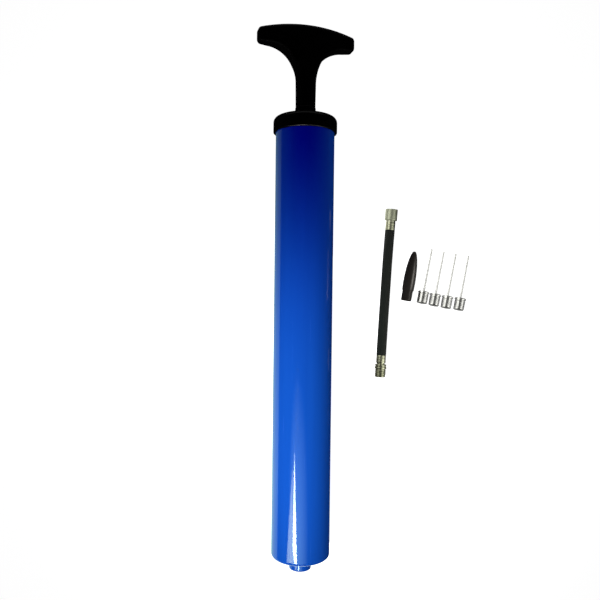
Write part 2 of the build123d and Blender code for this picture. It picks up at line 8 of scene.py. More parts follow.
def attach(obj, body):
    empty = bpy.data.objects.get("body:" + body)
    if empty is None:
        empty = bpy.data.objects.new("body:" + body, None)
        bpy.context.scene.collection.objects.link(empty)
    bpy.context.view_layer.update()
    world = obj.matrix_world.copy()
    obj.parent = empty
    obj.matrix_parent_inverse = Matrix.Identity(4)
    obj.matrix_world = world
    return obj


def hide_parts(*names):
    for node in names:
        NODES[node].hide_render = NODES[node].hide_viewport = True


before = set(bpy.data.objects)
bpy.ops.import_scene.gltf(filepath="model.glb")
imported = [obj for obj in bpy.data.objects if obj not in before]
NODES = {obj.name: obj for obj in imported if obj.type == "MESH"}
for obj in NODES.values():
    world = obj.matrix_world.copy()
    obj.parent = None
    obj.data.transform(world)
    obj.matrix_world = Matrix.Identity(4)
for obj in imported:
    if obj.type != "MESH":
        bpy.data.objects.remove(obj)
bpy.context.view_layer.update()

# The ball pump and its kit, seen from straight above. Outlines are in millimetres on a piece's own axis,
# with heights from the closed end of the barrel, from a threaded end, or from the hose's end. Everything
# in Blender is in metres.
MM = 0.001
TAU = 2 * math.pi


# ================================================================ camera
def make_camera():
    data = bpy.data.cameras.new("camera")
    data.sensor_width = 36
    data.lens = 37.5
    data.clip_start = 0.01
    data.clip_end = 20
    camera = bpy.data.objects.new("camera", data)
    camera.location = (-0.04483, -0.00099, 0.4476)
    camera.rotation_euler = (0, 0, math.radians(0.69))
    bpy.context.scene.collection.objects.link(camera)
    bpy.context.scene.camera = camera


make_camera()
bpy.context.scene.view_settings.view_transform = "Standard"


# ================================================================ where the pieces lie
def lying(x, y, heading, tilt, rise):
    """The place of an upright piece laid down, its own +Z at a heading clockwise from +Y."""
    turn = Matrix.Rotation(math.radians(-heading), 4, "Z")
    lay = Matrix.Rotation(tilt - math.pi / 2, 4, "X")
    return Matrix.Translation((x * MM, y * MM, rise * MM)) @ turn @ lay


def resting(x, y, heading, low, high):
    """lying() for a piece whose side touches the ground at two (radius, height) points."""
    tilt = math.atan2(high[0] - low[0], high[1] - low[1])
    return lying(x, y, heading, tilt, low[0] * math.cos(tilt) - low[1] * math.sin(tilt))


def along(start, direction):
    """A place at start whose own +Z points in a direction and whose own +X stays level."""
    forward = direction.normalized()
    level = Vector((forward.y, -forward.x, 0)).normalized()
    axes = Matrix((level, forward.cross(level), forward)).transposed()
    return Matrix.Translation(start) @ axes.to_4x4()


def up(height):
    return Matrix.Translation((0, 0, height * MM))


HOSE_ROUTE = [
    Vector((0.01326, -0.03939, 0.00403)),
    Vector((0.01398, -0.02439, 0.00384)),
    Vector((0.0156, 0.00361, 0.00345)),
    Vector((0.01716, 0.03261, 0.0038)),
    Vector((0.01836, 0.04925, 0.00422)),
]
PUMP = resting(-42.67, -175.59, 0, (20, 2.6), (21.7, 288.3))
HOSE_START = along(HOSE_ROUTE[0], HOSE_ROUTE[1] - HOSE_ROUTE[0])
HOSE_END = along(HOSE_ROUTE[-1], HOSE_ROUTE[-1] - HOSE_ROUTE[-2])

# The nozzle's nose follows an ellipse and lies on its curved side, with its tip hanging.
NOSE_R = 4.25
NOSE_FROM = 12.4
NOSE_LENGTH = 23.5       # half length of the ellipse
NOSE_TIP_R = 0.88
NOZZLE_TILT = math.radians(-1.63)
NOSE_DROP = math.hypot(NOSE_LENGTH * math.sin(NOZZLE_TILT), NOSE_R * math.cos(NOZZLE_TILT))
NOZZLE_RISE = NOSE_DROP - NOSE_FROM * math.sin(NOZZLE_TILT)
NOZZLE = lying(30.23, -0.59, 9.6, NOZZLE_TILT, NOZZLE_RISE)

NEEDLES_LIE = [(41.28, -2.33, 11.3), (49.62, -3.98, 11.7), (58.27, -5.51, 11.6), (67.32, -6.76, 11.6)]
NEEDLES = [resting(*place, (4, 8.3), (0.7, 39.9)) for place in NEEDLES_LIE]


# ================================================================ mesh tools
def link(name, mesh, place, body, surface, cad_nodes):
    """A finished mesh as a piece: placed, riding on its body, material and CAD nodes."""
    mesh.transform(place)
    piece = bpy.data.objects.new(name, mesh)
    bpy.context.scene.collection.objects.link(piece)
    mesh.materials.append(surface)
    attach(piece, body)
    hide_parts(*cad_nodes)
    return piece


def mesh_of_rings(name, rings, joined, sharp_angle=32):
    """A mesh of quads between rings of points, the last ring joined to the first or both ends capped."""
    mesh = bpy.data.meshes.new(name)
    count = len(rings[0])
    points = [point for ring in rings for point in ring]
    faces = []
    total = len(rings)
    for j in range(total if joined else total - 1):
        here, there = j * count, (j + 1) % total * count
        for i in range(count):
            k = (i + 1) % count
            faces.append((here + i, here + k, there + k, there + i))
    if not joined:
        faces.append(tuple(range(count - 1, -1, -1)))
        faces.append(tuple(range((total - 1) * count, total * count)))
    mesh.from_pydata(points, [], faces)
    work = bmesh.new()
    work.from_mesh(mesh)
    bmesh.ops.remove_doubles(work, verts=work.verts, dist=1e-7)
    bmesh.ops.recalc_face_normals(work, faces=work.faces)
    work.to_mesh(mesh)
    work.free()
    mesh.shade_smooth()
    mesh.set_sharp_from_angle(angle=math.radians(sharp_angle))
    return mesh


def rounded(outline, arc_steps=5):
    """The closed outline with each (radius, height, rounding) corner replaced by an arc."""
    points = []
    count = len(outline)
    for i, corner in enumerate(outline):
        here = Vector(corner[:2])
        rounding = corner[2] if len(corner) > 2 else 0
        before = Vector(outline[i - 1][:2]) - here
        after = Vector(outline[(i + 1) % count][:2]) - here
        if rounding <= 0 or min(before.length, after.length) < 1e-6:
            points.append(tuple(here))
            continue
        half = before.angle(after) / 2
        reach = min(rounding / math.tan(half), before.length * 0.499, after.length * 0.499)
        radius = reach * math.tan(half)
        first, last = here + before.normalized() * reach, here + after.normalized() * reach
        centre = here + (before.normalized() + after.normalized()).normalized() * (radius / math.sin(half))
        start, end = first - centre, last - centre
        swing = math.atan2(start.x * end.y - start.y * end.x, start.dot(end))
        for step in range(arc_steps + 1):
            turn = swing * step / arc_steps
            cos, sin = math.cos(turn), math.sin(turn)
            radius_shift = start.x * cos - start.y * sin
            height_shift = start.x * sin + start.y * cos
            points.append((centre.x + radius_shift, centre.y + height_shift))
    return points


def turned(name, outline, shape=None, slices=96, arc_steps=5):
    """A piece turned about its own Z from a closed outline; shape(radius, height, turn) may change radii."""
    rings = []
    for radius, height in rounded(outline, arc_steps):
        ring = []
        for i in range(slices):
            turn = TAU * i / slices
            r = shape(radius, height, turn) if shape else radius
            ring.append((r * math.cos(turn) * MM, r * math.sin(turn) * MM, height * MM))
        rings.append(ring)
    return mesh_of_rings(name, rings, True)


# ================================================================ threads
PITCH = 0.794            # 32 turns per inch
MALE_R = 3.8
FEMALE_R = 3.85
THREAD_DEPTH = 0.27
THREAD_ROWS = 10         # outline points to a turn
GROOVE_FROM = 0.35       # where a groove starts, from 0 on the crest to 1 in the middle of the groove
GROOVE_FLANK = 0.55      # how much of that way its flank takes


def clamp(value):
    return max(0.0, min(1.0, value))


def thread_rows(radius, low, high):
    """Outline points along a threaded stretch."""
    steps = max(2, round(abs(high - low) / PITCH * THREAD_ROWS))
    return [(radius, low + (high - low) * i / steps) for i in range(steps + 1)]


def thread(major, low, high, inside=False, flat=None):
    """A shape for turned(): a right-hand helical thread between two heights, with two flats if asked."""
    def shape(radius, height, turn):
        if abs(radius - major) > 1e-6 or not low <= height <= high:
            return radius
        phase = (height / PITCH - turn / TAU) % 1
        groove = clamp((abs(2 * phase - 1) - GROOVE_FROM) / GROOVE_FLANK)
        fade = clamp((height - low) / PITCH) * clamp((high - height) / PITCH)
        radius -= THREAD_DEPTH * fade * (1 - groove if inside else groove)
        if flat and abs(math.cos(turn)) > 1e-6:
            radius = min(radius, flat / abs(math.cos(turn)))
        return radius
    return shape


# ================================================================ materials
def new_material(name):
    material = bpy.data.materials.new(name)
    material.use_nodes = True
    tree = material.node_tree
    return material, tree, tree.nodes["Principled BSDF"]


EVEN = (1, 1, 1)         # no grain
ALONG_Y = (1, 0.03, 1)   # drawn out along the pieces


def noise(tree, scale, detail=4.0, stretch=EVEN, roughness=0.55, offset=0.0):
    """Noise on the piece's own coordinates, in features per metre, squeezed along each axis."""
    coordinates = tree.nodes.new("ShaderNodeTexCoord")
    mapping = tree.nodes.new("ShaderNodeMapping")
    mapping.inputs["Scale"].default_value = stretch
    mapping.inputs["Location"].default_value = (offset, offset * 0.7, offset * 1.3)
    texture = tree.nodes.new("ShaderNodeTexNoise")
    texture.inputs["Scale"].default_value = scale
    texture.inputs["Detail"].default_value = detail
    texture.inputs["Roughness"].default_value = roughness
    tree.links.new(coordinates.outputs["Object"], mapping.inputs["Vector"])
    tree.links.new(mapping.outputs["Vector"], texture.inputs["Vector"])
    return texture.outputs["Fac"]


def ramp(tree, value, stops):
    node = tree.nodes.new("ShaderNodeValToRGB")
    elements = node.color_ramp.elements
    while len(elements) < len(stops):
        elements.new(0.5)
    for element, (position, colour) in zip(elements, stops):
        element.position = position
        element.color = (*colour, 1)
    tree.links.new(value, node.inputs["Fac"])
    return node.outputs["Color"]


def spread(tree, value, low, high, out_low, out_high):
    node = tree.nodes.new("ShaderNodeMapRange")
    for name, number in (("From Min", low), ("From Max", high), ("To Min", out_low), ("To Max", out_high)):
        node.inputs[name].default_value = number
    tree.links.new(value, node.inputs["Value"])
    return node.outputs["Result"]


def combine(tree, operation, first, second):
    node = tree.nodes.new("ShaderNodeMath")
    node.operation = operation
    for socket, value in zip(node.inputs, (first, second)):
        if isinstance(value, (int, float)):
            socket.default_value = value
        else:
            tree.links.new(value, socket)
    return node.outputs["Value"]


def tint(tree, factor, under, over):
    node = tree.nodes.new("ShaderNodeMix")
    node.data_type = "RGBA"
    tree.links.new(factor, node.inputs["Factor"])
    for socket, value in ((node.inputs["A"], under), (node.inputs["B"], over)):
        if isinstance(value, tuple):
            socket.default_value = (*value, 1)
        else:
            tree.links.new(value, socket)
    return node.outputs["Result"]


def bump(tree, shader, height, distance, strength=1.0):
    node = tree.nodes.new("ShaderNodeBump")
    node.inputs["Strength"].default_value = strength
    node.inputs["Distance"].default_value = distance
    tree.links.new(height, node.inputs["Height"])
    tree.links.new(node.outputs["Normal"], shader.inputs["Normal"])


def edges(tree, low, high):
    """1 on convex edges, 0 elsewhere."""
    geometry = tree.nodes.new("ShaderNodeNewGeometry")
    return spread(tree, geometry.outputs["Pointiness"], low, high, 0, 1)


def plastic(name, dark, light, rough, grain=EVEN, specular=0.5, scuffs=0.0):
    """Moulded plastic: pigment mottling, uneven gloss, moulding ripple and fine scuffs along the grain."""
    material, tree, shader = new_material(name)
    shader.inputs["Specular IOR Level"].default_value = specular
    pigment = noise(tree, 60.0, 5.0, grain)
    colour = ramp(tree, pigment, [(0.3, dark), (0.7, light)])
    lines = noise(tree, 700.0, 3.0, grain, 0.6, 3.1)
    scuff = spread(tree, lines, 0.66, 0.74, 0, 1)
    if scuffs:
        pale = tuple(min(1.0, c * 1.6 + 0.03) for c in light)
        colour = tint(tree, combine(tree, "MULTIPLY", scuff, scuffs), colour, pale)
    tree.links.new(colour, shader.inputs["Base Color"])
    gloss = spread(tree, noise(tree, 160.0, 4.0, grain, 0.6, 7.7), 0.3, 0.7, rough[0], rough[1])
    gloss = combine(tree, "ADD", gloss, combine(tree, "MULTIPLY", scuff, 0.15))
    tree.links.new(gloss, shader.inputs["Roughness"])
    waves = noise(tree, 45.0, 2.0, grain, 0.4, 1.7)
    fine = noise(tree, 2600.0, 2.0, EVEN, 0.5, 5.3)
    height = combine(tree, "ADD", waves, combine(tree, "MULTIPLY", fine, 0.05))
    height = combine(tree, "SUBTRACT", height, combine(tree, "MULTIPLY", scuff, 0.12))
    bump(tree, shader, height, 1e-5)
    return material


def metal(name, dark, light, rough, grain=EVEN, tarnish=None, brushed=0.0, wear=None):
    """Plated metal: cloudy tarnish, brushing along the grain and brighter worn edges."""
    material, tree, shader = new_material(name)
    shader.inputs["Metallic"].default_value = 1.0
    clouds = noise(tree, 320.0, 6.0, EVEN, 0.65)
    colour = ramp(tree, clouds, [(0.32, dark), (0.66, light)])
    if tarnish:
        spots = spread(tree, noise(tree, 900.0, 5.0, EVEN, 0.7, 2.9), 0.55, 0.8, 0, 0.35)
        colour = tint(tree, spots, colour, tarnish)
    if wear:
        colour = tint(tree, edges(tree, 0.53, 0.62), colour, wear)
    tree.links.new(colour, shader.inputs["Base Color"])
    strokes = noise(tree, 2200.0, 3.0, grain, 0.6, 4.4)
    gloss = spread(tree, noise(tree, 500.0, 5.0, EVEN, 0.6, 9.1), 0.3, 0.7, rough[0], rough[1])
    gloss = combine(tree, "ADD", gloss, combine(tree, "MULTIPLY", strokes, brushed * 0.2))
    tree.links.new(gloss, shader.inputs["Roughness"])
    bump(tree, shader, strokes, 4e-6, 0.2 + brushed)
    return material


def rubber(name, dark, light):
    """Moulded rubber with a fine pebble, dusty patches and a greasy sheen."""
    material, tree, shader = new_material(name)
    shader.inputs["Specular IOR Level"].default_value = 0.35
    dust = noise(tree, 420.0, 5.0, EVEN, 0.65)
    tree.links.new(ramp(tree, dust, [(0.35, dark), (0.75, light)]), shader.inputs["Base Color"])
    tree.links.new(spread(tree, dust, 0.3, 0.7, 0.42, 0.7), shader.inputs["Roughness"])
    bump(tree, shader, noise(tree, 4200.0, 3.0, EVEN, 0.6, 6.2), 1.5e-5, 0.5)
    return material


BLUE = plastic(
    "blue_barrel_plastic", (0.004, 0.060, 0.385), (0.006, 0.078, 0.455), (0.045, 0.075), ALONG_Y, scuffs=0.2
)
BLACK = plastic(
    "black_moulded_plastic", (0.0012, 0.0012, 0.0014), (0.0022, 0.0021, 0.0022), (0.34, 0.46), specular=0.22
)
CAP_BLACK = plastic(
    "black_cap_plastic", (0.0012, 0.0012, 0.0014), (0.0022, 0.0021, 0.0022), (0.26, 0.36), specular=0.3
)
ROD_BLACK = plastic(
    "satin_rod_plastic", (0.018, 0.018, 0.019), (0.034, 0.034, 0.036), (0.38, 0.52), ALONG_Y, 0.4, 0.4
)
BUSH_BLACK = plastic(
    "bush_plastic", (0.035, 0.035, 0.035), (0.06, 0.06, 0.058), (0.4, 0.55), specular=0.4
)
WHITE = plastic("natural_white_plastic", (0.70, 0.70, 0.66), (0.82, 0.82, 0.78), (0.32, 0.45))
NOZZLE_GREY = plastic(
    "nozzle_plastic", (0.013, 0.011, 0.010), (0.021, 0.018, 0.016), (0.32, 0.42), ALONG_Y, scuffs=0.3
)
SEAL = rubber("seal_rubber", (0.014, 0.014, 0.014), (0.034, 0.033, 0.032))
ZINC = metal(
    "zinc_plated_steel", (0.50, 0.50, 0.47), (0.66, 0.66, 0.63), (0.26, 0.4), EVEN,
    (0.42, 0.40, 0.34), 0.3,
)
BALL = metal("polished_ball_steel", (0.72, 0.72, 0.72), (0.80, 0.80, 0.80), (0.06, 0.12))
NICKEL = metal(
    "tarnished_nickel", (0.30, 0.31, 0.22), (0.44, 0.45, 0.33), (0.2, 0.34), ALONG_Y,
    (0.16, 0.17, 0.09), 0.2, (0.62, 0.62, 0.5),
)
SATIN_NICKEL = metal(
    "satin_nickel", (0.36, 0.38, 0.29), (0.48, 0.50, 0.39), (0.36, 0.5), EVEN,
    (0.24, 0.25, 0.17), 0.3, (0.60, 0.61, 0.5),
)
PLATING = metal(
    "bright_nickel_plating", (0.66, 0.66, 0.67), (0.78, 0.78, 0.79), (0.07, 0.15), ALONG_Y,
    (0.5, 0.49, 0.47), 0.0, (0.85, 0.85, 0.85),
)
NEEDLE_STEEL = metal(
    "drawn_needle_steel", (0.76, 0.76, 0.77), (0.86, 0.86, 0.87), (0.38, 0.5), (1, 0.05, 1),
    (0.62, 0.62, 0.62),
)


# ================================================================ hose
def hose_line():
    """The smooth line of the hose, from the route's own spline."""
    data = bpy.data.curves.new("hose_route", "CURVE")
    data.dimensions = "3D"
    data.resolution_u = 48
    spline = data.splines.new("NURBS")
    spline.points.add(len(HOSE_ROUTE) - 1)
    for point, spot in zip(spline.points, HOSE_ROUTE):
        point.co = (*spot, 1)
    spline.order_u = 3
    spline.use_endpoint_u = True
    guide = bpy.data.objects.new("hose_route", data)
    mesh = bpy.data.meshes.new_from_object(guide)
    points = [vertex.co.copy() for vertex in mesh.vertices]
    bpy.data.objects.remove(guide)
    bpy.data.meshes.remove(mesh)
    return points


STRANDS = 16
STRAND_LEAD = 21.6       # height of one turn of a strand
BRAID_R = 3.06
BRAID_LIFT = 0.16
BRAID_CROWN = 0.27
BRAID_SLICES = 128
BRAID_STEP = 0.17        # between rings of the mesh


def braid_radius(turn, height):
    """Plain weave of two families of helical strands, each over and under the other."""
    right = (turn / TAU + height / STRAND_LEAD) * STRANDS
    left = (-turn / TAU + height / STRAND_LEAD) * STRANDS
    tops = []
    for own, other, sign in ((right, left, 1), (left, right, -1)):
        over = sign * (-1) ** math.floor(own) * math.sin(math.pi * other)
        across = (own % 1 - 0.5) * 2
        tops.append(BRAID_LIFT * over + BRAID_CROWN * math.sqrt(max(0.0, 1 - across * across)))
    return BRAID_R + max(tops)


def braided_hose(points):
    """The hose's outer skin along its line, with the braid as real relief."""
    lengths = [0.0]
    for a, b in zip(points, points[1:]):
        lengths.append(lengths[-1] + (b - a).length)
    count = round(lengths[-1] / (BRAID_STEP * MM))
    rings = []
    segment = 0
    for j in range(count + 1):
        distance = min(lengths[-1] * j / count, lengths[-1])
        while segment < len(points) - 2 and lengths[segment + 1] < distance:
            segment += 1
        share = (distance - lengths[segment]) / (lengths[segment + 1] - lengths[segment])
        spot = points[segment].lerp(points[segment + 1], share)
        place = along(spot, points[segment + 1] - points[segment])
        ring = []
        for i in range(BRAID_SLICES):
            turn = TAU * i / BRAID_SLICES
            r = braid_radius(turn, distance / MM) * MM
            ring.append(place @ Vector((r * math.cos(turn), r * math.sin(turn), 0)))
        rings.append(ring)
    return mesh_of_rings("hose_braid", rings, False, 180)


def braid_material():
    material, tree, shader = new_material("black_textile_braid")
    shader.inputs["Specular IOR Level"].default_value = 0.22
    shader.inputs["Sheen Weight"].default_value = 0.04
    fibres = noise(tree, 1500.0, 5.0, EVEN, 0.7)
    colour = ramp(tree, fibres, [(0.3, (0.0012, 0.0018, 0.0015)), (0.72, (0.005, 0.0078, 0.0062))])
    # Painted sheen: the raised strand crests are tinted a lighter green-grey, standing in for light glancing
    # off the strand tops.
    colour = tint(tree, edges(tree, 0.51, 0.58), colour, (0.018, 0.027, 0.021))
    tree.links.new(colour, shader.inputs["Base Color"])
    tree.links.new(spread(tree, fibres, 0.3, 0.7, 0.38, 0.6), shader.inputs["Roughness"])
    bump(tree, shader, noise(tree, 5200.0, 3.0, EVEN, 0.6, 2.2), 1.2e-5, 0.6)
    return material


hose_points = hose_line()
hose_mesh = braided_hose(hose_points)
hose = link("hose_braid", hose_mesh, Matrix(), "hose", braid_material(), ["hose_tube"])

# The ferrules, from the hose's end of each, and the fittings beyond them.
FERRULE = [
    (3.4, 0, 0.15), (3.4, 1.5, 0.1), (3.35, 1.65, 0.1), (3.35, 2.0, 0.1), (3.4, 2.15, 0.1), (3.4, 3.4, 0.1),
    (3.35, 3.55, 0.1), (3.35, 3.9, 0.1), (3.4, 4.05, 0.1), (3.4, 5.6, 0.3), (2.6, 5.6), (2.6, 0),
]
lower_ferrule = link(
    "lower_ferrule_sleeve", turned("lower_ferrule_sleeve", FERRULE),
    HOSE_START @ Matrix.Rotation(math.pi, 4, "X"), "hose", NICKEL, ["lower_ferrule"],
)
upper_ferrule = link(
    "upper_ferrule_sleeve", turned("upper_ferrule_sleeve", FERRULE),
    HOSE_END, "hose", NICKEL, ["upper_ferrule"],
)

MALE_FITTING = [
    (1.0, 0), (3.3, 0, 0.25), *thread_rows(MALE_R, 0.55, 5.3), (3.35, 5.5, 0.1), (3.35, 5.9),
    (4.12, 5.9, 0.45), (4.12, 7.3, 0.45), (3.65, 7.45), (3.65, 7.8), (3.95, 7.95, 0.35), (3.95, 9.15, 0.35),
    (2.7, 9.2), (2.7, 10.0), (1.6, 10.0), (1.6, 18.0), (1.0, 18.0),
]
male_fitting = link(
    "threaded_fitting", turned("threaded_fitting", MALE_FITTING, thread(MALE_R, 0.5, 5.3)),
    HOSE_START @ up(-15.6), "hose", NICKEL, ["male_fitting"],
)

NUT = [
    (2.66, 1.3), (4.38, 1.3, 0.3), (4.38, 2.3, 0.25), (4.3, 2.5, 0.1), (4.3, 9.1, 0.55), (4.05, 9.1, 0.1),
    *reversed(thread_rows(FEMALE_R, 4.45, 8.85)), (3.56, 4.4), (3.56, 2.5), (2.66, 2.5),
]
nut = link(
    "swivel_nut_body", turned("swivel_nut_body", NUT, thread(FEMALE_R, 4.4, 8.9, True)),
    HOSE_END @ up(5.6), "swivel_nut", SATIN_NICKEL, ["swivel_nut"],
)

# ================================================================ nozzle
NOSE_STEPS = 40
NOZZLE_LENGTH = 35.38
nose_turn = math.acos(NOSE_TIP_R / NOSE_R)


def nose_point(step):
    """A point of the nose's ellipse, from its widest place at step 0."""
    turn = nose_turn * step / NOSE_STEPS
    return NOSE_R * math.cos(turn), NOSE_FROM + NOSE_LENGTH * math.sin(turn)


NOZZLE_OUTLINE = [
    (2.0, 0, 0.1), (3.3, 0, 0.15), *thread_rows(MALE_R, 0.4, 7.1), (3.7, 7.4), (4.1, 7.4, 0.3),
    *[nose_point(step) for step in range(NOSE_STEPS)],
    (NOSE_TIP_R, NOZZLE_LENGTH, 0.2), (0.6, NOZZLE_LENGTH), (0.6, 9.0), (2.0, 9.0),
]
nozzle = link(
    "tapered_nozzle", turned("tapered_nozzle", NOZZLE_OUTLINE, thread(MALE_R, 0.3, 7.2, False, 3.6)),
    NOZZLE, "nozzle", NOZZLE_GREY, ["cone_nozzle"],
)

# ================================================================ needles
NEEDLE_BASE = [
    (1.0, 0), (3.3, 0, 0.2), *thread_rows(MALE_R, 0.5, 6.6), (3.4, 6.8, 0.1), (3.4, 7.25), (4.0, 7.3, 0.25),
    (4.0, 8.6, 0.4), (1.3, 8.6), (1.15, 8.6, 0.1), (0.7, 8.6), (0.7, 5.6), (1.0, 5.6),
]
needle_bases = []
for index, place in enumerate(NEEDLES, 1):
    name = f"needle_{index}_threaded_base"
    base = link(
        name, turned(name, NEEDLE_BASE, thread(MALE_R, 0.45, 6.6)),
        place, f"needle_{index}", PLATING, [f"needle_{index}_base"],
    )
    needle_bases.append(base)

# ================================================================ barrel and cap
BARREL = [
    (7.6, -8.6, 1.2), (7.6, 0, 1.2), (20, 0, 2.6), (20, 290.1, 0.1), (20.35, 290.2, 0.2), (20.35, 290.8, 0.2),
    (20, 290.9, 0.1), (20, 292.9, 0.3), (18.2, 292.9, 0.3), (18.2, 3, 0.8), (7.5, 3, 0.5), (7.5, 9.5, 0.3),
    (3.6, 9.5), (3.6, 7), (2.4, 7), (2.4, 2.2), (1.5, 2.2), (1.5, 0.3), (3.3, 0.3), (3.3, -1.0),
    *reversed(thread_rows(FEMALE_R, -8.3, -1.0)), (4.1, -8.6, 0.1),
]
barrel = link(
    "barrel_moulding", turned("barrel_moulding", BARREL, thread(FEMALE_R, -8.4, -1.0, True), 192, 8),
    PUMP, "barrel", BLUE, ["barrel"],
)

CAP = [
    (21.7, 287.9, 0.6), (21.7, 298.2, 3.6), (7, 299.1, 1.2), (7, 305.2, 0.3), (6.2, 305.2, 0.1), (6.2, 294.8),
    (16.3, 294.8), (16.3, 287.9), (18.1, 287.9), (18.1, 293.0), (20.1, 293.0), (20.1, 290.95),
    (20.45, 290.95), (20.45, 290.05), (20.1, 290.05), (20.1, 287.9, 0.2),
]
cap = link(
    "cap_moulding", turned("cap_moulding", CAP, None, 192, 8),
    PUMP, "barrel", CAP_BLACK, ["top_cap"],
)

# ================================================================ CAD pieces that stay
STAY = {
    "outlet_gasket": SEAL,
    "valve_seat": BUSH_BLACK,
    "valve_spring": ZINC,
    "valve_ball": BALL,
    "rod_bush": BUSH_BLACK,
    "piston_body": WHITE,
    "cup_seal": SEAL,
    "seal_retainer": WHITE,
    "piston_screw": ZINC,
    "screw_washer": ZINC,
    "stop_buffer": SEAL,
    "plunger_rod": ROD_BLACK,
    "t_handle": BLACK,
    "handle_screw": ZINC,
    "handle_screw_cover": BLACK,
    "hose_tail": NICKEL,
    "nut_gasket": SEAL,
}
NEEDLE_TUBES = [f"needle_{index}_tube" for index in range(1, len(NEEDLES) + 1)]
STAY.update({node: NEEDLE_STEEL for node in NEEDLE_TUBES})
for node, surface in STAY.items():
    for material_slot in NODES[node].material_slots:
        material_slot.material = surface

hose_metal = [male_fitting, lower_ferrule, upper_ferrule, nut, NODES["hose_tail"]]
needle_metal = needle_bases + [NODES[node] for node in NEEDLE_TUBES]


FLOOR_LEVEL = -0.00002
KIT_GROUND = -0.000015
GROUND = -0.00001
CEILING = 0.64
FLOOR_HALF = 3.0


def glow_away(tree, reach, low, high):
    """Falls from high at the object's origin to low at the reach on each axis, 0 for an axis without."""
    coordinates = tree.nodes.new("ShaderNodeTexCoord")
    mapping = tree.nodes.new("ShaderNodeMapping")
    mapping.inputs["Scale"].default_value = [1 / size if size else 0 for size in reach]
    fall = tree.nodes.new("ShaderNodeTexGradient")
    fall.gradient_type = "SPHERICAL"
    tree.links.new(coordinates.outputs["Object"], mapping.inputs["Vector"])
    tree.links.new(mapping.outputs["Vector"], fall.inputs["Vector"])
    return spread(tree, fall.outputs["Fac"], 0.0, 1.0, low, high)


def floor():
    mesh = bpy.data.meshes.new("floor")
    mesh.from_pydata(level(-FLOOR_HALF, FLOOR_HALF, -FLOOR_HALF, FLOOR_HALF, 0), [], [(0, 1, 2, 3)])
    plane = bpy.data.objects.new("floor", mesh)
    plane.location = (-0.045, 0, FLOOR_LEVEL)
    bpy.context.scene.collection.objects.link(plane)
    plane.visible_glossy = False
    material, tree, shader = new_material("pale_floor")
    shader.inputs["Roughness"].default_value = 0.9
    shader.inputs["Specular IOR Level"].default_value = 0.0
    grain = ramp(tree, noise(tree, 30.0, 4.0), [(0.3, (0.80, 0.80, 0.80)), (0.7, (0.84, 0.84, 0.84))])
    tree.links.new(grain, shader.inputs["Base Color"])
    glow = glow_away(tree, (2.6, 2.6, 2.6), 0.3, 1.08)
    tree.links.new(glow, shader.inputs["Emission Strength"])
    shader.inputs["Emission Color"].default_value = (1, 1, 1, 1)
    mesh.materials.append(material)


def aim(thing, target):
    thing.rotation_euler = (Vector(target) - thing.location).to_track_quat("-Z", "Y").to_euler()


def spot(name, location, target, power, angle, radius, colour=(1, 1, 1), lights_only=None, shines=False):
    """A soft spot, which shows as a highlight only if it shines."""
    data = bpy.data.lights.new(name, "SPOT")
    data.energy = power
    data.spot_size = math.radians(angle)
    data.spot_blend = 1.0
    data.shadow_soft_size = radius
    data.color = colour
    lamp = bpy.data.objects.new(name, data)
    lamp.location = location
    bpy.context.scene.collection.objects.link(lamp)
    aim(lamp, target)
    lamp.visible_glossy = shines
    if lights_only:
        lamp.light_linking.receiver_collection = lights_only


def card(name, corners, strength, colour, seen_by, fade=None, streaks=0.0):
    """A glowing card that shows only as a reflection, in the pieces of one group.

    fade is a centre and the reach on each axis over which the glow dies away, 0 for an axis without;
    streaks is how much of a fading glow is lost between streaks that run along Y."""
    centre, reach = fade or ((0, 0, 0), (0, 0, 0))
    mesh = bpy.data.meshes.new(name)
    own_corners = [Vector(corner) - Vector(centre) for corner in corners]
    mesh.from_pydata(own_corners, [], [tuple(range(len(corners)))])
    panel = bpy.data.objects.new(name, mesh)
    panel.location = centre
    bpy.context.scene.collection.objects.link(panel)
    material, tree, shader = new_material(name)
    shader.inputs["Base Color"].default_value = (0, 0, 0, 1)
    shader.inputs["Specular IOR Level"].default_value = 0.0
    shader.inputs["Emission Color"].default_value = (*colour, 1)
    shader.inputs["Emission Strength"].default_value = strength
    if fade:
        glow = glow_away(tree, reach, 0.0, strength)
        if streaks:
            lines = spread(tree, noise(tree, 40.0, 3.0, (1, 0.01, 1), 0.6), 0.35, 0.65, 1 - streaks, 1)
            glow = combine(tree, "MULTIPLY", glow, lines)
        tree.links.new(glow, shader.inputs["Emission Strength"])
    mesh.materials.append(material)
    panel.visible_camera = False
    panel.visible_diffuse = False
    panel.visible_shadow = False
    panel.visible_transmission = False
    panel.light_linking.receiver_collection = seen_by


def group(name, pieces):
    """The pieces that a card is made for."""
    collection = bpy.data.collections.new(name)
    for piece in pieces:
        collection.objects.link(piece)
    return collection


def level(x_low, x_high, y_low, y_high, z):
    return [(x_low, y_low, z), (x_high, y_low, z), (x_high, y_high, z), (x_low, y_high, z)]


def wall(y, z_low, z_high, half):
    return [(-half, y, z_low), (half, y, z_low), (half, y, z_high), (-half, y, z_high)]


floor()
spot("key", (-0.24, -0.22, 0.60), (-0.045, -0.095, 0.02), 24, 31, 0.05)

for_barrel = group("for_barrel", [barrel])
for_kit = group("for_kit", [hose] + hose_metal + needle_metal)
for_cap = group("for_cap", [cap])
black_nodes = [NODES[node] for node in ("t_handle", "handle_screw_cover", "plunger_rod")]
for_black = group("for_black", [cap, nozzle] + black_nodes)
for_nozzle = group("for_nozzle", [nozzle])
barrel.visible_glossy = False
spot("blue_fill", (-0.10, 0.075, 0.5), (-0.042, 0.075, 0.02), 2.8, 32, 0.05, (0.02, 0.0, 1.0), for_barrel)

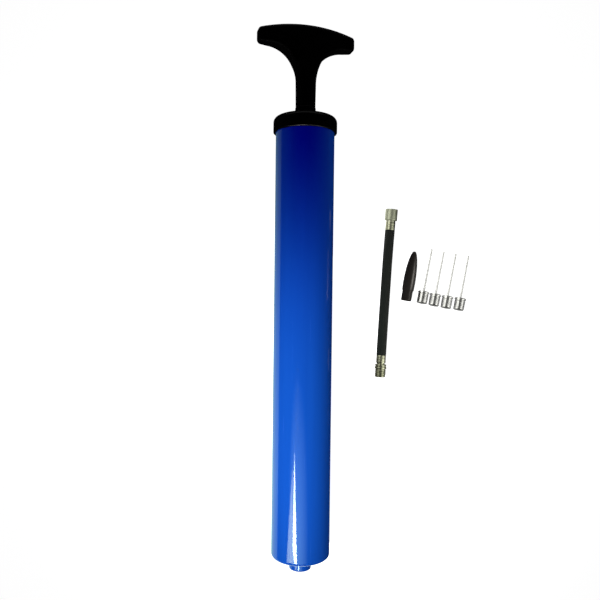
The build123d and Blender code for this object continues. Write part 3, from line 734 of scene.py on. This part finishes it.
# The barrel sees a light over its lower end, its haze, and the pale ground on both sides and in front.
ICY = (0.75, 0.95, 1.0)
strip = [(-0.37, -0.50, 0.6), (-0.14, -0.53, 0.6), (-0.325, -0.335, 0.6), (-0.337, -0.335, 0.6)]
card("strip", strip, 50, ICY, for_barrel)
wedge = [(-1.0, -0.80, 0.602), (-0.36, -0.53, 0.602), (-0.38, -0.37, 0.602), (-0.45, -0.38, 0.602)]
wedge_fade = ((-0.42, -0.60, 0.602), (0.8, 0.6, 0))
card("wedge", wedge, 15, (0.8, 1.0, 0.7), for_barrel, wedge_fade, 0.8)
haze_fade = ((-0.20, -0.58, 0.604), (0.5, 0.40, 0))
card("haze", level(-1.1, 0.35, -0.95, -0.12, 0.604), 4.6, (0.5, 0.95, 0.95), for_barrel, haze_fade)
left_fade = ((-0.1, -0.14, 0), (0, 0.33, 0))
card("left_ground", level(-0.195, -0.0427, -0.6, 0.2, GROUND), 1.7, (0.5, 0.82, 0.6), for_barrel, left_fade)
card("front_ground", level(-0.0657, -0.0197, -0.6, -0.1874, GROUND), 1.6, (0.7, 0.95, 1.0), for_barrel)
card("right_ground", level(-0.0221, -0.0147, -0.1844, 0.0306, GROUND), 0.7, (0.8, 0.9, 1.0), for_barrel)

# The needles and the hose see grey ground, a dark ceiling overhead and bright ones on their left and right.
CREAM = (1, 1, 0.94)
NEEDLE_CEILING = (-0.045, 0.09, CEILING)
card("kit_ground", level(-3, 3, -0.03, 0.036, KIT_GROUND), 0.3, (1, 1, 0.96), for_kit)
card("stem_ground", level(0.037, 0.085, 0.009, 0.045, GROUND), 1.0, (1, 1, 0.98), for_kit)
card("kit_far_left", level(-4, -1.34, *NEEDLE_CEILING), 0.6, CREAM, for_kit)
card("kit_left", level(-1.34, -0.33, *NEEDLE_CEILING), 1.7, CREAM, for_kit)
card("kit_overhead", level(-0.33, 0.30, *NEEDLE_CEILING), 0.16, CREAM, for_kit)
card("kit_right", level(0.30, 2.4, *NEEDLE_CEILING), 1.1, CREAM, for_kit)

# The hose's upper fittings see light on their left, its lower ones light on their right.
WARM = (1, 1, 0.92)
UPPER_CEILING = (0.09, 3, CEILING)
LOWER_CEILING = (-3, -0.045, CEILING)
card("upper_ground", level(-3, 0.019, 0.036, 3, KIT_GROUND), 1.2, WARM, for_kit)
card("upper_left", level(-4, -0.27, *UPPER_CEILING), 2.1, WARM, for_kit)
card("upper_overhead", level(-0.27, 0.66, *UPPER_CEILING), 0.26, WARM, for_kit)
card("upper_right", level(0.66, 2.4, *UPPER_CEILING), 0.4, WARM, for_kit)
card("lower_ground", level(-3, 3, -3, -0.03, KIT_GROUND), 0.3, WARM, for_kit)
card("lower_left", level(-4, -0.74, *LOWER_CEILING), 0.35, WARM, for_kit)
card("lower_overhead", level(-0.74, 0.20, *LOWER_CEILING), 0.12, WARM, for_kit)
card("lower_right", level(0.20, 2.4, *LOWER_CEILING), 2.3, WARM, for_kit)

spot(
    "nozzle_glow", (0.50, 0.0, 0.36), (0.034, 0.017, 0.005), 8.5, 24, 0.10, (1, 0.95, 0.88), for_nozzle, True
)

# Two slips of light low in front glint along the cap's lip.
LAMPLIGHT = (1, 0.93, 0.82)
long_slip = [(-0.90, -1.55, 0.22), (0.15, -1.55, 0.46), (0.15, -1.55, 0.56), (-0.90, -1.55, 0.30)]
card("cap_glint", long_slip, 90, LAMPLIGHT, for_cap)
side_slip = [(0.82, -1.55, 0.08), (1.02, -1.55, 0.02), (1.02, -1.55, 0.16), (0.82, -1.55, 0.24)]
card("side_glint", side_slip, 90, LAMPLIGHT, for_cap)

# Pale walls at the two far ends put a sheen on the black pieces when seen from the side.
card("front_wall", wall(-1.6, 0.05, 1.0, 1.6), 0.4, (1, 1, 1), for_black)
card("back_wall", wall(1.6, 0.05, 1.0, 1.6), 0.3, (1, 1, 1), for_black)

world = bpy.data.worlds.new("studio")
bpy.context.scene.world = world
world.use_nodes = True
background = world.node_tree.nodes["Background"]
background.inputs["Color"].default_value = (1, 1, 1, 1)
background.inputs["Strength"].default_value = 0.8
world.cycles_visibility.diffuse = False
world.cycles_visibility.glossy = False
